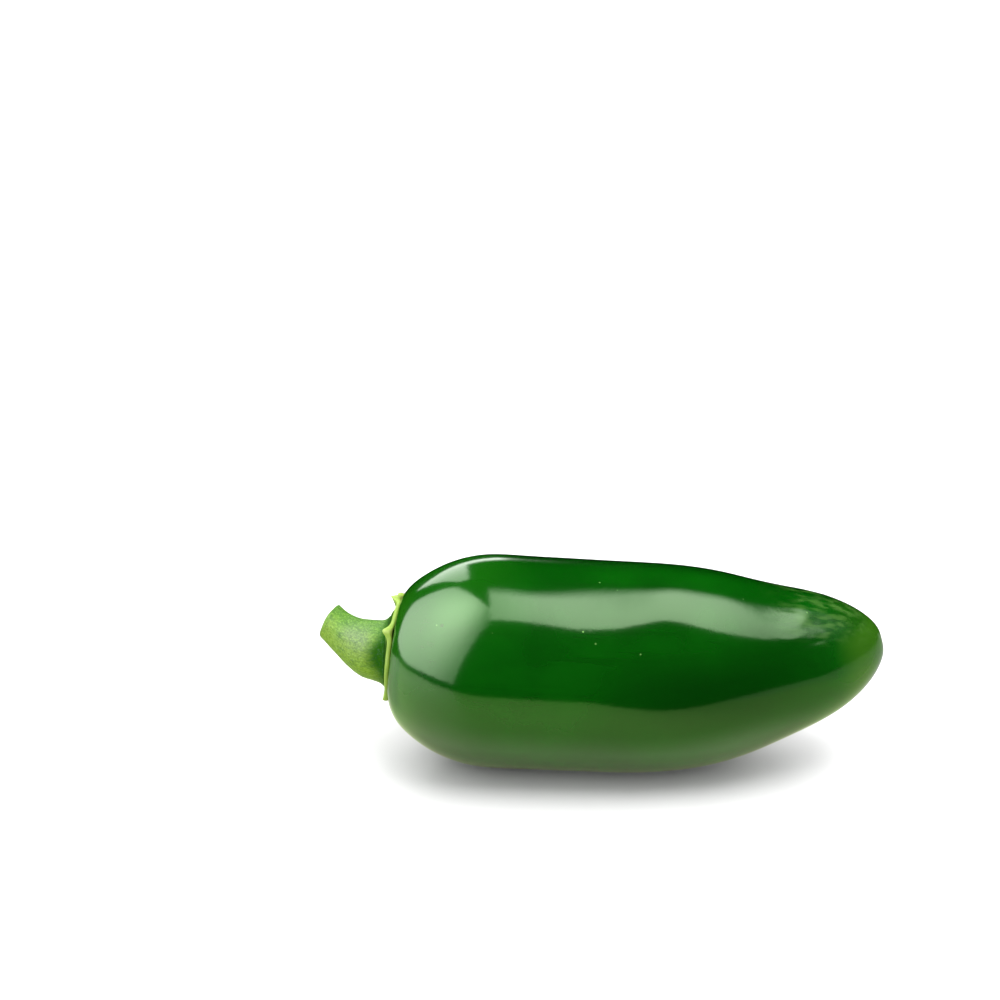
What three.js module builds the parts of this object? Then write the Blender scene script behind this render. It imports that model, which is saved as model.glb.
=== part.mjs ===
import * as THREE from 'three';

// A green chilli pepper lying on its side, in three pieces: the pod, the leafy calyx that caps
// its stem end, and the short stem with its cut end. Millimetres, +Z up. The stem points to -X
// and the tip to +X. The origin is under the middle of the pepper, on the surface it lies on.

// Pod: a blunt, fleshy fruit with a square shoulder, full sides and a round tip.
const POD_LENGTH = 78.7;
const POD_RADIUS = 16.9;
const SHOULDER_LENGTH = 28;
const SHOULDER_POWER = 3.24;
const TIP_LENGTH = 41.8;
const TIP_POWER = 1.86;

// Soft swellings (+) and waists (-) round the pod: where, how far each spreads, share of the radius.
const SWELLINGS = [
  { at: 4.5, spread: 3, share: -0.017 },
  { at: 14, spread: 6, share: 0.027 },
  { at: 40, spread: 10, share: -0.012 },
  { at: 63, spread: 8, share: -0.052 },
];

// Three seed chambers inside swell the side into three soft lobes, strongest before the middle.
const LOBE_COUNT = 3;
const FIRST_LOBE = THREE.MathUtils.degToRad(91);
const LOBE_SHARE = 0.022;
const LOBE_MORE = 0.014;
const LOBE_AT = 42;
const LOBE_SPREAD = 18;

// A shallow hollow in the front flank.
const HOLLOW_AT = 44;
const HOLLOW_ANGLE = THREE.MathUtils.degToRad(153);
const HOLLOW_DEPTH = 0.22;
const HOLLOW_LENGTH = 9;
const HOLLOW_WIDTH = THREE.MathUtils.degToRad(26);
const HOLLOW_FULL_RADIUS = 8;

// The tip ends in a small dimple, where the blossom fell off.
const DIMPLE_DEPTH = 0.35;
const DIMPLE_RADIUS = 1.5;

// The middle line rises and swings back a little towards each end.
const STEM_END_SWING = 0.94;
const STEM_END_SWING_LENGTH = 18;
const STEM_END_RISE = 2.15;
const STEM_END_RISE_LENGTH = 77.8;
const TIP_SWING = 3.0;
const TIP_RISE = 4.97;
const TIP_BEND_LENGTH = 42.3;

// The lowest line of the pod is pressed flat by its weight, and it rests on three low points there:
// where each one is from the stem end and from the middle, how low it is and how far it spreads.
const PRESSED_DEPTH = 0.25;
const LOW_POINTS = [
  { x: 16.29, y: 1.64 },
  { x: 29.39, y: -3.2 },
  { x: 44.35, y: 1.66 },
];
const LOW_POINT_DEPTH = 0.05;
const LOW_POINT_SPREAD = 1.5;

// Calyx: a thin five-toothed cap in a shallow seat on the shoulder, a little above the stem's foot,
// with a groove round the foot.
const GAP = 0.3;
const CALYX_OFFSET = 0.6;
const CALYX_OFFSET_ANGLE = THREE.MathUtils.degToRad(63);
const CALYX_RADIUS = 7.9;
const SEAT_DEPTH = 0.4;
const SEAT_RADIUS = 8.2;
const SEAT_EDGE = 1;
const CALYX_THICKNESS = 1.15;
const CALYX_RIM_THICKNESS = 0.62;
const TOOTH_START = 0.8;
const TOOTH_WIDTH = THREE.MathUtils.degToRad(5.5);

// The five teeth: where each one is, how far it reaches out, and how far it curls to the stem.
const TEETH = [
  { degrees: 66, reach: 0.95, curl: 1.3 },
  { degrees: 135, reach: 0.8, curl: 1.15 },
  { degrees: 226, reach: 0.35, curl: 0.15 },
  { degrees: 289, reach: 0.9, curl: 0.6 },
  { degrees: 358, reach: 0.8, curl: 0.9 },
];
const RIM_WAVE = 0.12;
const RIM_WAVE_COUNT = 13;
const GROOVE_RADIUS = 6.4;
const GROOVE_WIDTH = 0.8;
const GROOVE_DEPTH = 0.25;
const RIDGE_HEIGHT = 0.3;
const RIDGE_LENGTH = 1.6;

// Stem: it narrows from a flared foot, curves up and back, and ends in a cut, dished face.
const STEM_LENGTH = 8.6;
const STEM_FOOT_RADIUS = 4.95;
const STEM_END_RADIUS = 2.95;
const STEM_FLARE = 0.35;
const STEM_FLARE_LENGTH = 0.9;
const STEM_OFFSET = -0.1;
const STEM_CURVE_BACK = 0.043;
const STEM_CURVE_UP = 0.038;
const STEM_SECTION_TURN = 0.5;
const STEM_RIB_COUNT = 5;
const FIRST_RIB = THREE.MathUtils.degToRad(66);
const STEM_RIB_SHARE = 0.03;
const CUT_RIM_WIDTH = 0.14;
const CUT_DISH_DEPTH = 0.55;

// How finely the surfaces are divided.
const POD_AROUND = 64;
const POD_ROWS = 52;
const CALYX_AROUND = 100;
const CALYX_ROWS = 8;
const STEM_AROUND = 36;
const STEM_ROWS = 12;
const STEM_FACE_ROWS = 5;

const UP = new THREE.Vector3(0, 0, 1);
const BACK = new THREE.Vector3(0, 1, 0);

// A smooth hump of height 1 at one place, fading over the spread.
function hump(value, at, spread) {
  return Math.exp(-(((value - at) / spread) ** 2));
}

// The difference between two angles, between minus and plus half a turn.
function turnBetween(angle, other) {
  return THREE.MathUtils.euclideanModulo(angle - other + Math.PI, 2 * Math.PI) - Math.PI;
}

// Radius of the pod at a distance along its middle line, before lobes and hollow.
function podRadius(along) {
  const fromStem = Math.min(along / SHOULDER_LENGTH, 1);
  const fromTip = Math.min((POD_LENGTH - along) / TIP_LENGTH, 1);
  const shoulder = (1 - (1 - fromStem) ** SHOULDER_POWER) ** (1 / SHOULDER_POWER);
  const tip = (1 - (1 - fromTip) ** TIP_POWER) ** (1 / TIP_POWER);
  const swelling = SWELLINGS.reduce((sum, { at, spread, share }) => sum + share * hump(along, at, spread), 0);
  return POD_RADIUS * (1 + swelling) * shoulder * tip;
}

// Distance along the middle line at which the shoulder has a given radius.
function shoulderDepth(radius) {
  const share = (radius / POD_RADIUS) ** SHOULDER_POWER;
  return SHOULDER_LENGTH * (1 - (1 - share) ** (1 / SHOULDER_POWER));
}

// The pod's middle line. It goes on past both ends, so that the calyx can use it too.
function podMiddle(along) {
  const swing = Math.max(1 - along / STEM_END_SWING_LENGTH, 0);
  const rise = Math.max(1 - along / STEM_END_RISE_LENGTH, 0);
  const tip = Math.max((along - POD_LENGTH + TIP_BEND_LENGTH) / TIP_BEND_LENGTH, 0);
  const y = STEM_END_SWING * swing ** 2 + TIP_SWING * tip ** 2;
  const z = STEM_END_RISE * rise ** 2 + TIP_RISE * tip ** 2;
  return new THREE.Vector3(along, y, z);
}

// The direction of the middle line towards the tip.
function podDirection(along) {
  const step = 0.01;
  return podMiddle(along + step).sub(podMiddle(along - step)).normalize();
}

// A point of a cross-section: its centre, the direction it faces, a radius and an angle round it.
// From the stem end of the pod, the angle starts at the back and goes over the top.
function sectionPoint(centre, direction, radius, angle) {
  const upright = UP.clone().addScaledVector(direction, -UP.dot(direction)).normalize();
  const sideways = upright.clone().cross(direction);
  return centre
    .clone()
    .addScaledVector(sideways, radius * Math.cos(angle))
    .addScaledVector(upright, radius * Math.sin(angle));
}

// Turns a profile round its axis, then moves each point as the given shape says.
function turned(profile, around, shape) {
  const points = profile.map(([radius, along]) => new THREE.Vector2(radius, along));
  const geometry = new THREE.LatheGeometry(points, around);
  const position = geometry.attributes.position;
  for (let index = 0; index < position.count; index += 1) {
    const point = new THREE.Vector3().fromBufferAttribute(position, index);
    const angle = Math.atan2(point.x, point.z);
    const moved = shape(point.y, Math.hypot(point.x, point.z), angle);
    position.setXYZ(index, moved.x, moved.y, moved.z);
  }
  geometry.computeVertexNormals();
  return geometry;
}

// The middle of the calyx, seen from the end of the pod's middle line.
function calyxMiddle() {
  return sectionPoint(new THREE.Vector3(), podDirection(0), CALYX_OFFSET, CALYX_OFFSET_ANGLE);
}

// Depth of the calyx's seat at a distance from its middle.
function seatDepth(distance) {
  return SEAT_DEPTH * (1 - THREE.MathUtils.smoothstep(distance, SEAT_RADIUS, SEAT_RADIUS + SEAT_EDGE));
}

// The pod's skin. Rows lie closer together towards both ends, where the surface turns fastest.
function podGeometry() {
  const profile = [];
  for (let row = 0; row <= POD_ROWS; row += 1) {
    const along = (POD_LENGTH * (1 - Math.cos((Math.PI * row) / POD_ROWS))) / 2;
    const atPole = row === 0 || row === POD_ROWS;
    profile.push([atPole ? 0 : podRadius(along), along]);
  }
  const geometry = turned(profile, POD_AROUND, (along, radius, angle) => {
    const fade = Math.sqrt(Math.sin((Math.PI * along) / POD_LENGTH));
    const lobes = (LOBE_SHARE + LOBE_MORE * hump(along, LOBE_AT, LOBE_SPREAD)) * fade;
    const hollow =
      HOLLOW_DEPTH *
      hump(along, HOLLOW_AT, HOLLOW_LENGTH) *
      hump(turnBetween(angle, HOLLOW_ANGLE), 0, HOLLOW_WIDTH) *
      Math.min(radius / HOLLOW_FULL_RADIUS, 1);
    const swollen = radius * (1 + lobes * Math.cos(LOBE_COUNT * (angle - FIRST_LOBE))) - hollow;
    const direction = podDirection(along);
    const across = sectionPoint(new THREE.Vector3(), direction, swollen, angle);
    const nearTip = along > POD_LENGTH / 2;
    const pushed = nearTip
      ? -DIMPLE_DEPTH * hump(radius, 0, DIMPLE_RADIUS)
      : seatDepth(across.distanceTo(calyxMiddle()));
    return podMiddle(along).add(across).addScaledVector(direction, pushed);
  });
  pressFlat(geometry);
  return geometry;
}

// Presses the lowest part of a surface up to one level, down to the low points.
function pressFlat(geometry) {
  const position = geometry.attributes.position;
  geometry.computeBoundingBox();
  const level = geometry.boundingBox.min.z + PRESSED_DEPTH;
  for (let index = 0; index < position.count; index += 1) {
    const pressed = Math.max(position.getZ(index), level);
    const away = LOW_POINTS.map(({ x, y }) => Math.hypot(position.getX(index) - x, position.getY(index) - y));
    const share = pressed < 0 ? hump(Math.min(...away), 0, LOW_POINT_SPREAD) : 0;
    position.setZ(index, THREE.MathUtils.lerp(pressed, level - LOW_POINT_DEPTH, share));
  }
  geometry.computeVertexNormals();
  geometry.computeBoundingBox();
}

// How far the rim stands out and curls at an angle, and how high the ridge is that runs from the
// stem's foot to the tooth there. A tooth is pointed, with hollow sides.
function rimAt(angle) {
  const rim = { reach: RIM_WAVE * Math.sin(RIM_WAVE_COUNT * angle), curl: 0, ridge: 0 };
  TEETH.forEach(({ degrees, reach, curl }) => {
    const away = turnBetween(angle, THREE.MathUtils.degToRad(degrees)) / TOOTH_WIDTH;
    const share = 1 / (1 + away ** 2);
    rim.reach += reach * share;
    rim.curl += curl * share;
    rim.ridge += RIDGE_HEIGHT * share;
  });
  return rim;
}

// The calyx: its outer face from the middle to the rim, then its inner face back to the middle.
// The profile's heights are over the pod's skin, and the shape lays them on the shoulder.
function calyxGeometry() {
  const profile = [];
  for (let row = 0; row <= CALYX_ROWS; row += 1) {
    const radius = (CALYX_RADIUS * row) / CALYX_ROWS;
    const thinning = (row / CALYX_ROWS) ** 2;
    const thickness = THREE.MathUtils.lerp(CALYX_THICKNESS, CALYX_RIM_THICKNESS, thinning);
    const groove = GROOVE_DEPTH * hump(radius, GROOVE_RADIUS, GROOVE_WIDTH);
    profile.push([radius, groove - GAP - thickness]);
  }
  profile.push([CALYX_RADIUS + CALYX_RIM_THICKNESS / 4, -GAP - CALYX_RIM_THICKNESS / 2]);
  for (let row = CALYX_ROWS; row >= 0; row -= 1) {
    profile.push([(CALYX_RADIUS * row) / CALYX_ROWS, -GAP]);
  }
  return turned(profile, CALYX_AROUND, (height, radius, angle) => {
    const start = CALYX_RADIUS * TOOTH_START;
    const outward = THREE.MathUtils.clamp((radius - start) / (CALYX_RADIUS - start), 0, 1) ** 2;
    const { reach, curl, ridge } = rimAt(angle);
    const spread = radius + reach * outward;
    const across = sectionPoint(calyxMiddle(), podDirection(0), spread, angle);
    const outerFace = (-GAP - height) / CALYX_THICKNESS;
    const raised = curl * outward + ridge * outerFace * hump(radius, GROOVE_RADIUS, RIDGE_LENGTH);
    const along = shoulderDepth(across.length()) + seatDepth(spread) + height - raised;
    return podMiddle(along).add(across);
  });
}

// The stem: its foot over the calyx, its side, and the cut face with a thin rim round a dish.
function stemGeometry() {
  const profile = [];
  const footRadius = STEM_FOOT_RADIUS + STEM_FLARE;
  for (let row = 0; row < STEM_FACE_ROWS; row += 1) {
    const radius = (footRadius * row) / STEM_FACE_ROWS;
    profile.push([radius, -shoulderDepth(radius)]);
  }
  const sideStart = -shoulderDepth(footRadius);
  for (let row = 0; row <= STEM_ROWS; row += 1) {
    const along = THREE.MathUtils.lerp(sideStart, STEM_LENGTH - CUT_RIM_WIDTH, (row / STEM_ROWS) ** 1.3);
    const taper = (1 + Math.cos((Math.PI * Math.max(along, 0)) / STEM_LENGTH)) / 2;
    const flare = STEM_FLARE * hump(along, sideStart, STEM_FLARE_LENGTH);
    profile.push([THREE.MathUtils.lerp(STEM_END_RADIUS, STEM_FOOT_RADIUS, taper) + flare, along]);
  }
  const dishRadius = STEM_END_RADIUS - 2 * CUT_RIM_WIDTH;
  profile.push([STEM_END_RADIUS - CUT_RIM_WIDTH, STEM_LENGTH]);
  for (let row = STEM_FACE_ROWS; row >= 0; row -= 1) {
    const share = row / STEM_FACE_ROWS;
    profile.push([dishRadius * share, STEM_LENGTH - CUT_DISH_DEPTH * (1 - share ** 3)]);
  }
  const start = podDirection(0).negate();
  const foot = podMiddle(SEAT_DEPTH - 2 * GAP - CALYX_THICKNESS).addScaledVector(UP, STEM_OFFSET);
  return turned(profile, STEM_AROUND, (along, radius, angle) => {
    const past = Math.max(along, 0);
    const curve = BACK.clone().multiplyScalar(STEM_CURVE_BACK).addScaledVector(UP, STEM_CURVE_UP);
    const centre = foot.clone().addScaledVector(start, along).addScaledVector(curve, past ** 2);
    const turn = 2 * past * STEM_SECTION_TURN;
    const direction = start.clone().addScaledVector(curve, turn).normalize();
    const share = past / STEM_LENGTH;
    const rib = STEM_RIB_SHARE * Math.cos(STEM_RIB_COUNT * (Math.PI - angle - FIRST_RIB)) * share;
    return sectionPoint(centre, direction, radius * (1 + rib), angle);
  });
}

function piece(name, geometry, color, roughness) {
  const mesh = new THREE.Mesh(geometry, new THREE.MeshStandardMaterial({ color, roughness, metalness: 0 }));
  mesh.name = name;
  return mesh;
}

const group = new THREE.Group();
group.add(
  piece('pod', podGeometry(), 0x1c7a12, 0.22),
  piece('calyx', calyxGeometry(), 0x8fb83a, 0.5),
  piece('stem', stemGeometry(), 0x76ad35, 0.45),
);

// Puts the origin under the pepper's middle, on the surface it lies on.
const box = new THREE.Box3().setFromObject(group);
const middle = box.getCenter(new THREE.Vector3());
group.position.set(-middle.x, -middle.y, -box.min.z);

export default group;
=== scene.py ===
import math

import bpy
import numpy as np
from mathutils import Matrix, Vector, noise


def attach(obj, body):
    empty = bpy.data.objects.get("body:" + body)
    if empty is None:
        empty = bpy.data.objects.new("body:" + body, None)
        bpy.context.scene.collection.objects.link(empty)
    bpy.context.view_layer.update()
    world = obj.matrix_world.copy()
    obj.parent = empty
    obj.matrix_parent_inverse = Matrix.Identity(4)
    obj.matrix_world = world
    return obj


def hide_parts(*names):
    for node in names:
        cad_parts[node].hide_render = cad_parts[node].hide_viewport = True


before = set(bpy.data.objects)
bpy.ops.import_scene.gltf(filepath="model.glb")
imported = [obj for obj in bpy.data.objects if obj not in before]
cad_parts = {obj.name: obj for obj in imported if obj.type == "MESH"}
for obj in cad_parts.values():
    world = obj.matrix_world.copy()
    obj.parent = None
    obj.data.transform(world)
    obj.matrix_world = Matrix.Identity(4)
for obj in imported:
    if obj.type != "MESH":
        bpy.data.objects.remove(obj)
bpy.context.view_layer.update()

# The pod.
# The fruit itself: a thick, juicy wall round three seed chambers, under a thin, waxy, deep green
# skin. It grew as one body, so it is one closed skin here, bent a little along its length.

# Sizes are in millimetres, and places are measured from the middle of the pod's stem end.
MM = 0.001
STEM_END = np.array((-33.6674, -0.0174, 15.3345))
POD_LENGTH = 78.7
POD_RADIUS = 16.9
SHOULDER_LENGTH, SHOULDER_POWER = 28, 3.24
TIP_LENGTH, TIP_POWER = 41.8, 1.86
STEM_SWING, STEM_SWING_LENGTH = 0.94, 18
STEM_RISE, STEM_RISE_LENGTH = 2.15, 77.8
TIP_SWING, TIP_RISE, TIP_BEND_LENGTH = 3.0, 4.97, 42.3
# Where each swelling (+) or waist (-) is, how far it spreads, and its share of the radius.
SWELLINGS = ((4.5, 3, -0.017), (14, 6, 0.027), (40, 10, -0.012), (63, 8, -0.052))
FIRST_LOBE = math.radians(91)
LOBE_SHARE, LOBE_MORE, LOBE_AT, LOBE_SPREAD = 0.022, 0.014, 42, 18
HOLLOW_ANGLE, HOLLOW_WIDTH = math.radians(153), math.radians(26)
HOLLOW_AT, HOLLOW_LENGTH, HOLLOW_DEPTH = 44, 9, 0.22
DIMPLE_DEPTH, DIMPLE_RADIUS = 0.35, 1.5
# The flat pressed by its weight, and the three low points there that carry it: where each one is
# along the pod and to the back.
FLAT_HEIGHT = 0.05
LOW_POINTS = ((16.29, 1.64), (29.39, -3.2), (44.35, 1.66))
LOW_POINT_SPREAD = 1.5
# Soft waves in the front flank: where, their length, the angle round the pod, their width, and by
# how many degrees they tilt the skin.
SOFT_WAVES = (
    (15, 4.5, 127, 9, -1.2),
    (31, 7, 127, 9, 2.9),
    (44.5, 4.5, 127, 9, -3.3),
    (22, 7.5, 113, 4.2, 4.2),
)
# How high the skin's soft lumps are, and the fine creases on top by the tip.
BROAD_LUMPS, SMALL_LUMPS = 0.03, 0.012
CREASE_DEPTH = 0.13
CREASE_AT, CREASE_LENGTH = 69.5, 6.5
CREASE_ANGLE, CREASE_WIDTH = math.radians(112), 0.75
POD_ROWS, POD_AROUND = 240, 320


def hump(value, at, spread):
    """A smooth hump of height 1 at one place, fading over the spread."""
    return np.exp(-(((value - at) / spread) ** 2))


def turn_between(angle, other):
    """The difference between two angles, between minus and plus half a turn."""
    return (angle - other + math.pi) % (2 * math.pi) - math.pi


def smooth(value, low, high):
    """0 below one value and 1 above another, with a smooth way between."""
    share = np.clip((value - low) / (high - low), 0, 1)
    return share * share * (3 - 2 * share)


def pod_radius(along):
    """Radius of the pod at a distance along its middle line."""
    from_stem = np.minimum(along / SHOULDER_LENGTH, 1)
    from_tip = np.clip((POD_LENGTH - along) / TIP_LENGTH, 0, 1)
    shoulder = (1 - (1 - from_stem) ** SHOULDER_POWER) ** (1 / SHOULDER_POWER)
    tip = (1 - (1 - from_tip) ** TIP_POWER) ** (1 / TIP_POWER)
    swelling = sum(share * hump(along, at, spread) for at, spread, share in SWELLINGS)
    return POD_RADIUS * (1 + swelling) * shoulder * tip


def shoulder_depth(radius):
    """Distance along the middle line at which the shoulder has a given radius."""
    share = (radius / POD_RADIUS) ** SHOULDER_POWER
    return SHOULDER_LENGTH * (1 - (1 - share) ** (1 / SHOULDER_POWER))


def pod_middle(along):
    """The pod's middle line, which rises and swings back a little towards each end."""
    swing = np.maximum(1 - along / STEM_SWING_LENGTH, 0)
    rise = np.maximum(1 - along / STEM_RISE_LENGTH, 0)
    tip = np.maximum((along - POD_LENGTH + TIP_BEND_LENGTH) / TIP_BEND_LENGTH, 0)
    to_back = STEM_SWING * swing**2 + TIP_SWING * tip**2
    return np.stack((along, to_back, STEM_RISE * rise**2 + TIP_RISE * tip**2), -1)


def unit(vectors):
    """The same directions, with length 1."""
    return vectors / np.linalg.norm(vectors, axis=-1, keepdims=True)


def pod_direction(along):
    """The direction of the middle line towards the tip."""
    return unit(pod_middle(along + 0.01) - pod_middle(along - 0.01))


def across(direction, radius, angle):
    """From the middle of a cross-section to its edge. The angle starts at the back and goes up."""
    upright = unit(np.array((0, 0, 1)) - direction * direction[..., 2:])
    sideways = np.cross(upright, direction)
    radius, angle = radius[..., None], angle[..., None]
    return radius * (np.cos(angle) * sideways + np.sin(angle) * upright)


# The calyx sits a little above and behind the middle of the stem end, in a shallow seat.
CALYX_OFFSET, CALYX_OFFSET_ANGLE = np.array(0.6), np.array(math.radians(63))
STEM_END_DIRECTION = pod_direction(np.array(0.0))
CALYX_MIDDLE = across(STEM_END_DIRECTION, CALYX_OFFSET, CALYX_OFFSET_ANGLE)
SEAT_DEPTH, SEAT_RADIUS, SEAT_EDGE = 0.4, 8.2, 9.2


def seat_depth(distance):
    """Depth of the calyx's seat at a distance from its middle."""
    return SEAT_DEPTH * (1 - smooth(distance, SEAT_RADIUS, SEAT_EDGE))


def lumps(places, size, seed):
    """Soft random lumps of a size, between about -1 and 1, at each place."""
    flat = (places / size).reshape(-1, 3) + seed
    return np.array([noise.noise(Vector(place)) for place in flat]).reshape(places.shape[:-1])


def closed_skin(name, points, marks):
    """One closed mesh from rings of points between two poles, with a number or vector per point."""
    around = points.shape[1]

    def flat(values):
        rings = values[1:-1].reshape(-1, *values.shape[2:])
        return np.concatenate((values[0, :1], rings, values[-1, :1]))

    first = np.arange(around)
    after = (first + 1) % around
    rings = points.shape[0] - 2
    faces = [(0, 1 + b, 1 + a) for a, b in zip(first, after)]
    for ring in range(rings - 1):
        low = 1 + ring * around
        high = low + around
        faces += [(low + a, low + b, high + b, high + a) for a, b in zip(first, after)]
    last = 1 + (rings - 1) * around
    faces += [(last + a, last + b, last + around) for a, b in zip(first, after)]
    mesh = bpy.data.meshes.new(name)
    mesh.from_pydata((flat(points) + STEM_END) * MM, [], faces)
    for mark, values in marks.items():
        kind, field = ("FLOAT", "value") if values.ndim == 2 else ("FLOAT_VECTOR", "vector")
        layer = mesh.attributes.new(mark, kind, "POINT")
        layer.data.foreach_set(field, flat(values).ravel().astype(np.float32))
    mesh.shade_smooth()
    skin = bpy.data.objects.new(name, mesh)
    bpy.context.scene.collection.objects.link(skin)
    return skin


def pod_points():
    """Rings of points from the stem end to the tip, with each one's place on the unbent pod."""
    row = np.arange(POD_ROWS + 1)[:, None]
    along = POD_LENGTH * (1 - np.cos(math.pi * row / POD_ROWS)) / 2
    along, angle = np.broadcast_arrays(along, np.arange(POD_AROUND) * 2 * math.pi / POD_AROUND)
    radius = pod_radius(along)
    fade = np.sqrt(np.sin(math.pi * along / POD_LENGTH).clip(0))
    lobes = (LOBE_SHARE + LOBE_MORE * hump(along, LOBE_AT, LOBE_SPREAD)) * fade
    hollow = HOLLOW_DEPTH * hump(along, HOLLOW_AT, HOLLOW_LENGTH) * np.minimum(radius / 8, 1)
    hollow = hollow * hump(turn_between(angle, HOLLOW_ANGLE), 0, HOLLOW_WIDTH)
    swollen = radius * (1 + lobes * np.cos(3 * (angle - FIRST_LOBE))) - hollow

    straight = np.stack((along, swollen * np.cos(angle), swollen * np.sin(angle)), -1)
    relief = BROAD_LUMPS * lumps(straight, 13, 3.1) * (1 - smooth(along, 58, 68))
    relief += SMALL_LUMPS * lumps(straight, 5, 8.4)
    creases = lumps(straight * (0.16, 1, 1), 1.6, 6.7)
    creases = creases + 0.35 * lumps(straight * (0.2, 1, 1), 0.8, 2.9)
    creased = hump(along, CREASE_AT, CREASE_LENGTH)
    creased = creased * hump(turn_between(angle, CREASE_ANGLE), 0, CREASE_WIDTH)
    relief += CREASE_DEPTH * creased * creases
    relief *= np.minimum(radius / 9, 1)
    for at, length, around, spread, degrees in SOFT_WAVES:
        below = turn_between(angle, math.radians(around)) * radius / spread
        relief += math.radians(degrees) * spread * below * hump(below, 0, 1) * hump(along, at, length)
    swollen = swollen + relief

    direction = pod_direction(along)
    section = across(direction, swollen, angle)
    from_seat = np.linalg.norm(section - CALYX_MIDDLE, axis=-1)
    dimple = -DIMPLE_DEPTH * hump(radius, 0, DIMPLE_RADIUS)
    pushed = np.where(along > POD_LENGTH / 2, dimple, seat_depth(from_seat))
    points = pod_middle(along) + section + direction * pushed[..., None]
    return pressed_flat(points), {"straight": straight}


def pressed_flat(points):
    """Presses the lowest part of the skin up to one level, down to the three low points."""
    level = FLAT_HEIGHT - STEM_END[2]
    pressed = np.maximum(points[..., 2], level)
    away = [np.hypot(points[..., 0] - x, points[..., 1] - y) for x, y in LOW_POINTS]
    share = np.where(pressed < 0, hump(np.min(away, axis=0), 0, LOW_POINT_SPREAD), 0)
    points[..., 2] = pressed + (level - FLAT_HEIGHT - pressed) * share
    return points


class Wire:
    """A shader socket. Sums of wires and numbers are written as Python expressions."""

    def __init__(self, tree, socket=None):
        self.tree = tree
        self.socket = socket

    def node(self, kind, settings, inputs, output=0):
        """Adds a node: its type, its settings, then the value or link of each socket."""
        node = self.tree.nodes.new("ShaderNode" + kind)
        for name, value in settings.items():
            setattr(node, name, value)
        for name, value in inputs.items():
            if isinstance(value, Wire):
                self.tree.links.new(value.socket, node.inputs[name])
            else:
                node.inputs[name].default_value = value
        return Wire(self.tree, node.outputs[output] if node.outputs else None)

    def math(self, operation, *values):
        """Arithmetic on wires and numbers."""
        return self.node("Math", {"operation": operation}, dict(enumerate(values)))

    def __add__(self, other):
        return self.math("ADD", self, other)

    def __sub__(self, other):
        return self.math("SUBTRACT", self, other)

    def __rsub__(self, other):
        return self.math("SUBTRACT", other, self)

    def __mul__(self, other):
        return self.math("MULTIPLY", self, other)

    def __rtruediv__(self, other):
        return self.math("DIVIDE", other, self)

    __radd__ = __add__
    __rmul__ = __mul__

    def mark(self, name, output="Fac"):
        """A number kept on the mesh, or a vector."""
        return self.node("Attribute", {"attribute_name": name}, {}, output)

    def part(self, axis):
        """One number of this vector."""
        return self.node("SeparateXYZ", {}, {0: self}, axis)

    def scaled(self, scale):
        """This vector, stretched along each axis."""
        inputs = {0: self, 1: scale}
        return self.node("VectorMath", {"operation": "MULTIPLY"}, inputs)

    def noise(self, scale, detail=2.0, roughness=0.5, distortion=0.0):
        """Random clouds between about 0 and 1 over this vector."""
        inputs = {"Vector": self, "Scale": scale, "Detail": detail, "Roughness": roughness}
        return self.node("TexNoise", {}, {**inputs, "Distortion": distortion})

    def step(self, low, high):
        """0 where this is below one value and 1 above another, with a smooth way between."""
        inputs = {"Value": self, "From Min": low, "From Max": high}
        return self.node("MapRange", {"interpolation_type": "SMOOTHSTEP"}, inputs)

    def mix(self, first, second):
        """From one colour to another as this goes from 0 to 1."""
        return self.node("Mix", {"data_type": "RGBA"}, {0: self, 6: first, 7: second}, 2)

    def bump(self, depth, height):
        """Fine relief, as deep as this many metres where the height is 1."""
        return self.node("Bump", {}, {"Strength": 1.0, "Distance": depth, "Height": height})


def finish(name, look):
    """A material whose shader sockets are filled by the look. Where it is dull, it has no gloss."""
    material = bpy.data.materials.new(name)
    material.use_nodes = True
    tree = material.node_tree
    tree.nodes.clear()
    inputs = look(Wire(tree))
    dull = inputs.pop("Dull", None)
    shader = Wire(tree).node("BsdfPrincipled", {}, inputs)
    if dull:
        matt = Wire(tree).node("BsdfDiffuse", {}, {"Color": inputs["Base Color"]})
        shader = Wire(tree).node("MixShader", {}, {0: dull, 1: shader, 2: matt})
    Wire(tree).node("OutputMaterial", {}, {"Surface": shader})
    return material


SKIN_DEEP = (0.0003, 0.029, 0.0004, 1)
SKIN_LIVELY = (0.0005, 0.039, 0.0005, 1)
SKIN_DARK = (0.0002, 0.0175, 0.0003, 1)
PAINTED_BACK_SHADE = (0.0002, 0.0115, 0.0003, 1)
SHOULDER_GREEN = (0.010, 0.078, 0.002, 1)
CROWN_GREEN = (0.003, 0.053, 0.001, 1)
TIP_GREEN = (0.0135, 0.058, 0.002, 1)
SCAR_TAN = (0.10, 0.075, 0.025, 1)
SPECK_GREEN = (0.09, 0.20, 0.05, 1)
SPECK_DARK = (0.0, 0.01, 0.0, 1)
WISP_GREEN = (0.05, 0.115, 0.022, 1)
PALE_SPECK = (30.6, -11.6, 11.7)
DARK_SPECK = (9.0, -10.6, 10.9)
PORE_DEPTH = 0.000006


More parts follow.
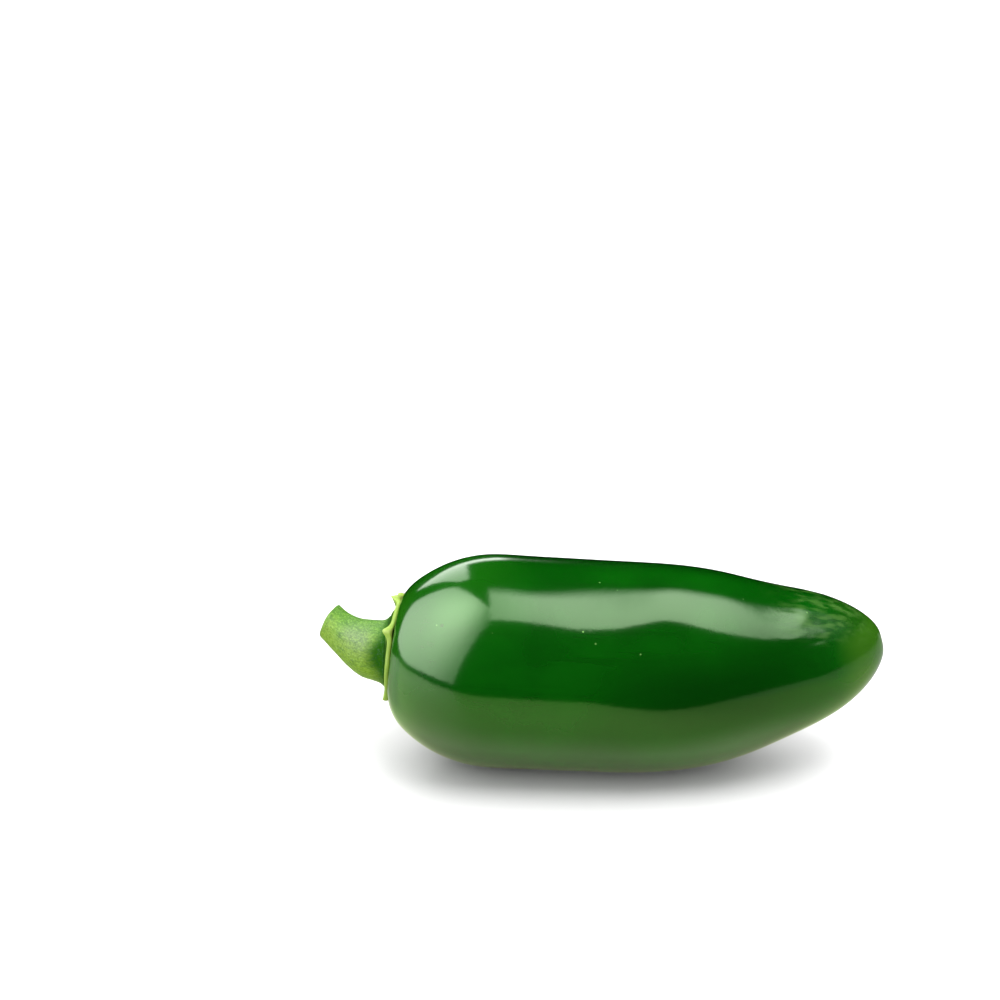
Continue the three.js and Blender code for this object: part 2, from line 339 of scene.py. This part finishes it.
def waxy_skin(wire):
    """Deep green skin with painted shade over the back and on the front flank past the middle, paler
    round the calyx, on the crown and at the tip.

    It has faint streaks, pale wisps before the tip, a few pale specks and a small tan scar.
    """
    straight = wire.mark("straight", "Vector")
    along, back, height = (straight.part(axis) for axis in "XYZ")
    clouds = straight.noise(0.09, 3)
    streaks = straight.scaled((0.05, 1, 1)).noise(0.55, 3, 0.6)
    colour = clouds.step(0.35, 0.68).mix(SKIN_DEEP, SKIN_LIVELY)
    colour = (streaks.step(0.5, 0.75) * 0.35).mix(colour, SKIN_DARK)
    # Painted shade: the front flank past the middle is mixed towards the dark green, as if less light
    # fell there.
    past_middle = (along + clouds * 8).step(30, 52) * (1 - (along + clouds * 5).step(60, 76))
    flank = height.step(-9, 0) * (1 - height.step(3, 12))
    colour = (past_middle * flank * 0.95).mix(colour, SKIN_DARK)
    near_calyx = 1 - (along + clouds * 2).step(1.5, 8)
    colour = (near_calyx * 0.8).mix(colour, SHOULDER_GREEN)
    # Painted shade: the back of the pod is darkened, as if light from behind were held off.
    colour = ((back + clouds * 4).step(-0.5, 8) * 0.9).mix(colour, PAINTED_BACK_SHADE)
    crown = (1 - (along + clouds * 5).step(11, 27)) * height.step(9, 14)
    colour = (crown * 0.85).mix(colour, CROWN_GREEN)
    near_tip = (along + clouds * 3).step(71.5, 76.5)
    near_tip = near_tip * (1 - 0.7 * (height - clouds * 2).step(2.8, 5))
    colour = near_tip.mix(colour, TIP_GREEN)
    wispy = along.step(59, 70) * (1 - along.step(74, 77.5))
    wispy = wispy * (height + along * 0.42).step(33.8, 36.6)
    wisps = straight.scaled((0.08, 1, 1)).noise(0.9, 2, 0.45, 0.25).step(0.4, 0.72)
    colour = (wispy * wisps * 0.4).mix(colour, WISP_GREEN)
    scar = (along + streaks * 0.3 + straight.noise(1.5, 2) * 0.3).step(78.62, 78.85)
    colour = scar.mix(colour, SCAR_TAN)
    cells = {"Vector": straight, "Scale": 0.35}
    specks = 1 - straight.node("TexVoronoi", {}, cells, "Distance").step(0.035, 0.07)
    rare = straight.noise(0.2, 1).step(0.55, 0.6)
    colour = (specks * rare * 0.6).mix(colour, SPECK_GREEN)
    for place, radius, shade in ((PALE_SPECK, 0.3, SPECK_GREEN), (DARK_SPECK, 0.5, SPECK_DARK)):
        ends = {0: straight, 1: place}
        away = straight.node("VectorMath", {"operation": "DISTANCE"}, ends, "Value")
        near = 1 - (away + clouds * 0.2).step(radius * 0.6, radius)
        colour = near.mix(colour, shade)
    grain = straight.noise(2.6, 2)
    pores = straight.noise(0.9, 1)
    rough = grain * 0.5 + pores + specks * rare * 1.5
    bump = wire.bump(PORE_DEPTH, rough)
    return {
        "Base Color": colour,
        "Roughness": 0.09 + grain * 0.05 + along.step(62, 74) * 0.06 + scar * 0.3,
        "IOR": 1.5,
        "Specular Tint": (0.72, 1.0, 0.62, 1),
        "Normal": bump,
    }


points, marks = pod_points()
pod = closed_skin("pepper_pod", points, marks)
pod.data.materials.append(finish("waxy green skin", waxy_skin))
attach(pod, "root")
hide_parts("pod")

# The calyx.
# What is left of the flower: a thin, leafy, five-toothed cap that clings to the shoulder round the
# stem. It is one growth with the stem, paler than the pod, with a pale raised rim.

CALYX_RADIUS = 7.9
CALYX_THICKNESS, CALYX_RIM_THICKNESS = 1.15, 0.62
# The solids leave a wider gap to the pod than these pieces do.
SOLID_GAP, CALYX_GAP = 0.3, 0.04
# A faint wave round the rim, and the five teeth, the first with two points: for each point the
# angle, how far it stands out, and how far it curls back.
RIM_WAVE, RIM_WAVES = 0.12, 13
TOOTH_SPREAD = math.radians(9)
TEETH = (
    (58, 0.9, 0.5),
    (73, 0.55, 1.45),
    (135, 0.8, 1.15),
    (230, 0.5, 0.45),
    (289, 0.9, 0.6),
    (358, 0.8, 0.9),
)
GROOVE_RADIUS, GROOVE_DEPTH, GROOVE_SPREAD = 6.6, 0.25, 0.8
CALYX_ROWS, CALYX_AROUND = 36, 600


def rim_at(angle):
    """How far the rim stands out and curls at an angle, and how much of a tooth is there."""
    reach = RIM_WAVE * np.sin(RIM_WAVES * angle)
    curl = np.zeros_like(angle)
    tooth = np.zeros_like(angle)
    for degrees, out, back in TEETH:
        away = turn_between(angle, math.radians(degrees)) / TOOTH_SPREAD
        share = (1 + away**2) ** -2
        reach = reach + out * share
        curl = curl + back * share
        tooth = tooth + share
    return reach, curl, tooth


def calyx_outside(points):
    """Distance along the pod of the calyx's outer side, straight under each point."""
    section = points - pod_middle(points[..., 0])
    section = section - STEM_END_DIRECTION * (section @ STEM_END_DIRECTION)[..., None]
    out = np.linalg.norm(section - CALYX_MIDDLE, axis=-1)
    thinner = (CALYX_THICKNESS - CALYX_RIM_THICKNESS) * (out / CALYX_RADIUS) ** 2
    depth = shoulder_depth(np.linalg.norm(section, axis=-1)) + seat_depth(out)
    groove = GROOVE_DEPTH * hump(out, GROOVE_RADIUS, GROOVE_SPREAD)
    return section[..., 0] + depth + groove + thinner - CALYX_THICKNESS - CALYX_GAP


def calyx_points():
    """Rings of points over the top, round the rim and back underneath, with marks for the colours."""
    row = np.arange(CALYX_ROWS + 1) / CALYX_ROWS
    spacing = row**0.8
    top_radius = CALYX_RADIUS * spacing
    thickness = CALYX_THICKNESS + (CALYX_RIM_THICKNESS - CALYX_THICKNESS) * spacing**2
    groove = GROOVE_DEPTH * hump(top_radius, GROOVE_RADIUS, GROOVE_SPREAD)
    edge = np.linspace(0, math.pi, 7)[1:-1]
    half = CALYX_RIM_THICKNESS / 2
    edge_radius = CALYX_RADIUS + half / 2 * np.sin(edge)
    edge_height = -SOLID_GAP - half - half * np.cos(edge)
    under = top_radius[::-2]
    radius = np.concatenate((top_radius, edge_radius, under))
    under_height = np.full(len(under), -SOLID_GAP)
    height = np.concatenate((groove - SOLID_GAP - thickness, edge_height, under_height))
    side = np.concatenate((np.ones(len(top_radius)), np.full(len(edge), 0.6), np.zeros(len(under))))
    angle = np.arange(CALYX_AROUND) * 2 * math.pi / CALYX_AROUND
    radius, angle = np.broadcast_arrays(radius[:, None], angle)
    height, side = height[:, None], side[:, None]

    start = CALYX_RADIUS * 0.8
    outward = np.clip((radius - start) / (CALYX_RADIUS - start), 0, 1) ** 2
    reach, curl, tooth = rim_at(angle)
    spread = radius + reach * outward
    outer = (-SOLID_GAP - height) / CALYX_THICKNESS
    raised = curl * outward * (0.25 + 0.75 * side)
    raised = raised + 0.3 * tooth * outer * hump(radius, GROOVE_RADIUS, 1.6)
    flat = np.stack((spread * np.cos(angle), spread * np.sin(angle), 0 * spread), -1)
    crumple = lumps(flat, 0.9, 5.2) * 0.05 + lumps(flat, 2.4, 1.7) * 0.06
    raised = raised + crumple * outer * smooth(radius, 4.5, 6) * (1 - 0.6 * outward)
    section = across(STEM_END_DIRECTION, spread, angle) + CALYX_MIDDLE
    from_middle = np.linalg.norm(section, axis=-1)
    along = shoulder_depth(from_middle) + seat_depth(spread) + height - raised
    along = along + SOLID_GAP - CALYX_GAP
    points = pod_middle(along) + section
    rim = smooth(radius, CALYX_RADIUS - 0.55, CALYX_RADIUS - 0.2) * side + 0 * angle
    marks = {
        "flat": flat,
        "rim": rim,
        "tooth": tooth * smooth(radius, 5.2, 7.2),
        # Where painted shade goes in the groove, less of it under the teeth.
        "groove": hump(radius, GROOVE_RADIUS - 0.5, 1.0) * (1 - 0.75 * np.minimum(tooth, 1)),
        "side": side + 0 * angle,
    }
    return points, marks


CALYX_GREEN = (0.05, 0.14, 0.010, 1)
CALYX_LIVELY = (0.08, 0.18, 0.016, 1)
CALYX_GROOVE_SHADE = (0.006, 0.035, 0.004, 1)
TOOTH_GREEN = (0.16, 0.25, 0.03, 1)
RIM_PALE = (0.225, 0.345, 0.04, 1)
TOOTH_PALE = (0.30, 0.38, 0.10, 1)
RIM_BROWN = (0.06, 0.075, 0.008, 1)
LEAF_RELIEF = 0.00005


def leafy_calyx(wire):
    """Leafy green with a pale yellow rim, painted shade in the groove and brownish on the hidden edge.
    """
    flat = wire.mark("flat", "Vector")
    rim, tooth, groove, side = (wire.mark(name) for name in ("rim", "tooth", "groove", "side"))
    clouds = flat.noise(1.1, 3)
    fine = flat.noise(4.5, 2)
    colour = clouds.step(0.3, 0.7).mix(CALYX_GREEN, CALYX_LIVELY)
    # Painted shade in the groove round the stem's foot.
    colour = (groove * (0.6 + fine * 0.6)).mix(colour, CALYX_GROOVE_SHADE)
    colour = (tooth * 0.75).mix(colour, TOOTH_GREEN)
    colour = rim.step(0.1, 0.8).mix(colour, RIM_PALE)
    colour = (tooth.step(0.7, 1) * fine.step(0.2, 0.8) * 0.8).mix(colour, TOOTH_PALE)
    colour = ((1 - side) * (0.4 + clouds * 0.6)).mix(colour, RIM_BROWN)
    bump = wire.bump(LEAF_RELIEF, fine + clouds * 0.6)
    return {
        "Base Color": colour,
        "Roughness": 0.38 + fine * 0.15,
        "Specular IOR Level": 0.2,
        "Dull": groove,
        "Normal": bump,
    }


points, marks = calyx_points()
calyx = closed_skin("pepper_calyx", points, marks)
calyx.data.materials.append(finish("leafy calyx", leafy_calyx))
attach(calyx, "root")
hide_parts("calyx")

# The stem.
# A short, fleshy stalk that grows out of the calyx, ribbed lengthwise, and was cut when the pepper
# was picked. The cut face has a pale rim, a ring of pale strands and a darker, sunken pith.

STEM_LENGTH = 8.6
STEM_FOOT_RADIUS, STEM_END_RADIUS = 4.95, 2.95
# The foot flares out in a wide skirt and a narrow one.
WIDE_FLARE, NARROW_FLARE = 0.35, 0.55
STEM_GAP, STEM_DROP = 0.03, 0.1
# How sharply it bends back and up along its length.
STEM_BEND = np.array((0, 0.043, 0.038))
FIRST_RIB, RIB_SHARE = math.radians(66), 0.03
CUT_RADIUS, CUT_DEPTH = 2.67, 0.55
STEM_FOOT_ROWS, STEM_ROWS, STEM_FACE_ROWS, STEM_AROUND = 12, 90, 24, 360


def stem_points():
    """Rings of points under the foot, up the side and over the cut face, with marks for the colours."""
    foot_radius = STEM_FOOT_RADIUS + WIDE_FLARE + NARROW_FLARE
    share = np.arange(STEM_FOOT_ROWS) / STEM_FOOT_ROWS
    foot = np.stack((foot_radius * share, -shoulder_depth(foot_radius * share)), -1)
    start_along = -shoulder_depth(np.array(foot_radius))
    side_along = start_along + (STEM_LENGTH - 0.14 - start_along) * np.linspace(0, 1, STEM_ROWS + 1)
    taper = (1 + np.cos(math.pi * side_along.clip(0) / STEM_LENGTH)) / 2
    flare = WIDE_FLARE * hump(side_along, start_along, 0.9)
    flare = flare + NARROW_FLARE * hump(side_along, start_along, 0.5)
    side_radius = STEM_END_RADIUS + (STEM_FOOT_RADIUS - STEM_END_RADIUS) * taper + flare
    side = np.stack((side_radius, side_along), -1)
    lip_start = (STEM_END_RADIUS - 0.04, STEM_LENGTH - 0.05)
    lip = np.array((lip_start, (STEM_END_RADIUS - 0.14, STEM_LENGTH)))
    share = np.linspace(1, 0, STEM_FACE_ROWS + 1)
    face = np.stack((CUT_RADIUS * share, STEM_LENGTH - CUT_DEPTH * (1 - share**3)), -1)
    profile = np.concatenate((foot, side, lip, face))
    radius, along = profile[:, :1], profile[:, 1:]
    cut = np.concatenate((np.zeros(len(foot) + len(side)), np.ones(len(lip) + len(face))))[:, None]

    angle = np.arange(STEM_AROUND) * 2 * math.pi / STEM_AROUND
    radius, angle = np.broadcast_arrays(radius, angle)
    past = along.clip(0)
    start = -STEM_END_DIRECTION
    base = pod_middle(np.array(SEAT_DEPTH - 2 * SOLID_GAP - CALYX_THICKNESS))
    base = base - np.array((0, 0, STEM_DROP))
    centre = base + start * along[..., None] + STEM_BEND * past[..., None] ** 2
    direction = unit(start + STEM_BEND * past[..., None])
    rib = RIB_SHARE * np.cos(5 * (math.pi - angle - FIRST_RIB)) * past / STEM_LENGTH
    flat = np.stack((past * 0.25 + 0 * angle, radius * np.cos(angle), radius * np.sin(angle)), -1)
    streak = lumps(flat, 0.8, 2.2) * 0.035 + lumps(flat, 0.35, 6.1) * 0.015
    ribbed = radius * (1 + rib) + streak * (1 - cut) * smooth(along, 0, 2)
    points = centre + across(direction, ribbed, angle)
    down = calyx_outside(points) - STEM_GAP - points[..., 0]
    settled = 1 - smooth(along - start_along, 0, 2.6)
    down[len(foot) + 1 :] = (down[len(foot)] * settled)[len(foot) + 1 :]
    points[..., 0] += down
    straight = np.stack((along + 0 * angle, radius * np.cos(angle), radius * np.sin(angle)), -1)
    marks = {
        "straight": straight,
        "cut": cut + 0 * angle,
        "out": np.where(cut > 0, radius / STEM_END_RADIUS, 0),
        "low": (1 + np.cos(angle + math.radians(50))) / 2 + 0 * along,
        "front": hump(turn_between(angle, 0.35), 0, 0.7) + 0 * along,
        # Where the painted sheen goes.
        "upper": hump(turn_between(angle, 0.75), 0, 0.55) + 0 * along,
    }
    return points, marks


STEM_GREEN = (0.045, 0.132, 0.005, 1)
STEM_YELLOW = (0.115, 0.21, 0.003, 1)
STEM_DARK = (0.006, 0.052, 0.002, 1)
STEM_STREAK = (0.025, 0.09, 0.004, 1)
STEM_FLECK = (0.16, 0.29, 0.04, 1)
STEM_PAINTED_SHEEN = (0.13, 0.16, 0.10, 1)
CUT_PALE = (0.2, 0.28, 0.09, 1)
PITH_GREEN = (0.06, 0.13, 0.03, 1)
STALK_RELIEF = 0.0002


def cut_stem(wire):
    """Yellow-green stalk with streaks and flecks, a painted sheen on its upper front, painted shade at
    the foot, and a paler cut face.
    """
    straight = wire.mark("straight", "Vector")
    cut, out = wire.mark("cut"), wire.mark("out")
    low, front, upper = (wire.mark(name) for name in ("low", "front", "upper"))
    along = straight.part("X")
    streaks = straight.scaled((0.15, 1, 1)).noise(1.5, 4, 0.6)
    speckle = straight.noise(3.2, 3, 0.7)
    clouds = straight.noise(0.45, 2)
    colour = (low * 0.8 + clouds * 0.5).step(0.4, 0.9).mix(STEM_GREEN, STEM_YELLOW)
    colour = (streaks.step(0.48, 0.68) * 0.6).mix(colour, STEM_STREAK)
    # Painted highlight: a pale, grainy sheen on the upper front of the stalk.
    painted_sheen = upper * along.step(0.8, 2.5) * (1 - along.step(4.5, 7)) * (0.2 + speckle * 0.5)
    colour = painted_sheen.mix(colour, STEM_PAINTED_SHEEN)
    grain = straight.noise(3.4, 3, 0.7)
    colour = ((1 - grain.step(0.36, 0.52)) * 0.38).mix(colour, STEM_DARK)
    colour = (grain.step(0.5, 0.64) * 0.5).mix(colour, STEM_FLECK)
    # Painted shade at the foot, where the stalk sinks into the calyx; the same dark green also darkens
    # the grain above.
    foot = 1 - (along + clouds * 1.5 - front * 1.6).step(-0.3, 1.8)
    glint = speckle.step(0.5, 0.7)
    colour = (foot * (0.7 + speckle * 0.5)).mix(colour, STEM_DARK)
    ring = out.step(0.48, 0.6) * (1 - out.step(0.66, 0.8))
    face = (ring * speckle.step(0.42, 0.56)).mix(PITH_GREEN, CUT_PALE)
    face = out.step(0.84, 0.95).mix(face, CUT_PALE)
    colour = cut.mix(colour, face)
    bump = wire.bump(STALK_RELIEF, streaks * 0.7 + speckle * 0.5 + grain * 0.5)
    return {
        "Base Color": colour,
        "Roughness": 0.34 + speckle * 0.18,
        "Specular IOR Level": 0.2,
        "Dull": foot * (1 - glint),
        "Normal": bump,
    }


points, marks = stem_points()
stem = closed_skin("pepper_stem", points, marks)
stem.data.materials.append(finish("cut stem", cut_stem))
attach(stem, "root")
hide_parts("stem")

# The table.
# A plain white sheet with a faint gloss, larger than any view of it. The skin mirrors only the
# strip on which the pepper lies and a corner behind its tip, as if the rest were out of the light.

TABLE_STRIP = (-0.17, 0.05)
TABLE_REACH = 4.0
TABLE_BESIDE_TIP = 0.06
TABLE_WHITE = (0.50, 0.50, 0.50, 1)
# Painted light and shade, seen only in the skin's reflections: greenish light near the pepper, more of
# it under it, less beside the tip and behind the left end, and grey behind it.
MIRRORED_LEFT = (0.40, 0.51, 0.22, 1)
MIRRORED_MIDDLE = (0.28, 0.34, 0.16, 1)
MIRRORED_TIP = (0.24, 0.27, 0.19, 1)
MIRRORED_BACK = (0.25, 0.25, 0.235, 1)
MIRRORED_SHOULDER = (0.2, 0.23, 0.13, 1)
MIRRORED_UNDER = (0.64, 0.66, 0.44, 1)


def table_white(wire):
    """White, with painted light and shade that only the skin's reflections show: the greener light
    close by, and less of it beside the tip.
    """
    place = wire.node("NewGeometry", {}, {}, "Position")
    right, back = place.part("X"), place.part("Y")
    close = right.step(0.01, 0.055).mix(MIRRORED_LEFT, MIRRORED_MIDDLE)
    # Painted shade in the reflection beside the tip.
    close = right.step(0.07, 0.11).mix(close, MIRRORED_TIP)
    close = back.step(-0.002, 0.025).mix(close, MIRRORED_BACK)
    # Painted shade in the reflection behind the pod's left end.
    behind_left = back.step(-0.012, 0) * (1 - right.step(-0.052, -0.036))
    close = behind_left.mix(close, MIRRORED_SHOULDER)
    # Painted bounce light in the reflection under the pepper.
    under = back.step(-0.03, -0.012) * right.step(-0.045, -0.02) * (1 - right.step(0.02, 0.045))
    close = under.mix(close, MIRRORED_UNDER)
    mirrored = wire.node("LightPath", {}, {}, "Is Glossy Ray")
    return {
        "Base Color": mirrored.mix(TABLE_WHITE, close),
        "Roughness": 0.3,
        "IOR": 1.4,
    }


TABLE_FINISH = finish("white table", table_white)


def table_sheet(name, *corners):
    """A level piece of the table between its corners."""
    mesh = bpy.data.meshes.new(name)
    mesh.from_pydata([(x, y, 0) for x, y in corners], [], [range(len(corners))])
    sheet = bpy.data.objects.new(name, mesh)
    bpy.context.scene.collection.objects.link(sheet)
    sheet.data.materials.append(TABLE_FINISH)
    return sheet


reach = TABLE_REACH
near, far = TABLE_STRIP
beside = (TABLE_BESIDE_TIP, far)
table_sheet("table", (-reach, near), (reach, near), (reach, far), (-reach, far))
table_sheet("table_right", beside, (reach, far), (reach, reach))
front = table_sheet("table_front", (-reach, -reach), (reach, -reach), (reach, near), (-reach, near))
back = table_sheet("table_back", (-reach, far), beside, (reach, reach), (-reach, reach))
front.visible_glossy = False
back.visible_glossy = False

# The light.
# A softbox overhead, a tall one on the left that leans in and a smaller one behind on the left, in a
# dark room, as the skin mirrors them. Soft light from behind and all round lifts the shadows, and
# the skin doesn't mirror it.

WHITE = (1, 1, 1, 1)
OVERHEAD_GLOW, LEFT_GLOW, BACK_GLOW = 8.7, 12.3, 4.6
SUN_STRENGTH, SUN_WIDTH, SUN_TILT = 3.3, math.radians(60), math.radians(-58)
ROOM_LIGHT = (2.15, 2.15, 2.15, 1)
BACKDROP_WHITE = (0.95, 0.97, 1.0, 1)


def softbox(name, centre, size, facing, glow):
    """A soft lamp. The glow gives its brightness from the places along its two sides, 0 to 1."""
    lamp = bpy.data.lights.new(name, "AREA")
    lamp.shape = "RECTANGLE"
    lamp.size, lamp.size_y = size
    lamp.energy = math.pi * size[0] * size[1]
    lamp.use_nodes = True
    tree = lamp.node_tree
    tree.nodes.clear()
    wire = Wire(tree)
    place = wire.node("NewGeometry", {}, {}, "Parametric")
    inputs = {"Color": WHITE, "Strength": glow(place.part("X"), place.part("Y"))}
    wire.node("OutputLight", {}, {"Surface": wire.node("Emission", {}, inputs)})
    box = bpy.data.objects.new(name, lamp)
    box.location = centre
    box.rotation_euler = Vector(facing).to_track_quat("-Z", "Y").to_euler()
    box.visible_camera = False
    bpy.context.scene.collection.objects.link(box)
    return box


def bright_spot(first, second, middle, fade):
    """1 at one place of a lamp, fading from there along both its sides."""
    away = [(place - at) * share for place, at, share in zip((first, second), middle, fade)]
    dimmed = 1 / (1 + away[0] * away[0] + away[1] * away[1])
    return dimmed * dimmed


def overhead_glow(right, back):
    """Brightest left of its middle, and much dimmer past a slanting line on its right."""
    tail = 1 - 0.85 * (right + back * 0.284).step(0.575, 0.66)
    far_edge = (back - right.step(0.05, 0.3) * 0.14).step(0.6, 0.9)
    near_end = right.step(0, 0.012) * (0.8 + 0.2 * right.step(0.09, 0.13))
    ends = near_end * back.step(0, 0.044) * (1 - far_edge)
    return OVERHEAD_GLOW * bright_spot(right, back, (0.2, 0.44), (1.7, 0.68)) * tail * ends


def left_glow(front, up):
    """Cut off along two slanting lines, at its high back corner and its low back corner."""
    high_corner = (up * 1.125 - front * 1.1).step(0.42, 0.52)
    low_corner = (front * 1.5 + up).step(0.16, 0.22)
    ends = front.step(0, 0.03) * (1 - front.step(0.95, 1)) * up.step(0, 0.015)
    spot = bright_spot(front, up, (0.40, 0.39), (1.9, 1.6))
    return LEFT_GLOW * spot * (1 - high_corner) * low_corner * ends


def back_glow(left, up):
    """A patch on its left, behind a leaning edge, with a low strip that reaches to the right."""
    level = up - left * 0.12
    leaning = (left - up * 0.5).step(0.23, 0.27)
    low_strip = (1 - level.step(0.19, 0.26)) * left.step(0.01, 0.08)
    return BACK_GLOW * level.step(0.09, 0.13) * (leaning + low_strip * (1 - leaning))


softbox(
    "overhead_softbox",
    centre=(0.41, -0.015, 0.6),
    size=(0.98, 0.63),
    facing=(0, 0, -1),
    glow=overhead_glow,
)
left = softbox(
    "left_softbox",
    centre=(-0.385, -0.28, 0.84),
    size=(1.44, 1.677),
    facing=(0.966, 0, -0.26),
    glow=left_glow,
)
back = softbox(
    "back_softbox",
    centre=(-0.215, 0.6, 0.425),
    size=(0.43, 0.81),
    facing=(0, -1, 0),
    glow=back_glow,
)
left.visible_diffuse = False
back.visible_diffuse = False

behind = bpy.data.lights.new("behind", "SUN")
behind.energy = SUN_STRENGTH
behind.angle = SUN_WIDTH
sun = bpy.data.objects.new("behind", behind)
sun.rotation_euler = (SUN_TILT, 0, 0)
sun.visible_glossy = False
bpy.context.scene.collection.objects.link(sun)

room = bpy.data.worlds.new("room")
room.use_nodes = True
room.node_tree.nodes.clear()
wire = Wire(room.node_tree)
seen = wire.node("LightPath", {}, {}, "Is Camera Ray")
shade = seen.mix(ROOM_LIGHT, BACKDROP_WHITE)
light = wire.node("Background", {}, {"Color": shade, "Strength": 1.0})
wire.node("OutputWorld", {}, {"Surface": light})
bpy.context.scene.world = room
room.cycles_visibility.glossy = False
bpy.context.scene.view_settings.view_transform = "Standard"

# The camera.
# A long lens, 600 mm from the pepper and 27 degrees over it, aimed so that the pepper sits right of
# the middle and low in the frame.

lens = bpy.data.cameras.new("camera")
lens.lens = 135.2
lens.clip_start, lens.clip_end = 0.01, 20
camera = bpy.data.objects.new("camera", lens)
camera.location = (0.00319, -0.53462, 0.28849)
camera.rotation_euler = (math.radians(65.515), 0, math.radians(2.058))
bpy.context.scene.collection.objects.link(camera)
bpy.context.scene.camera = camera
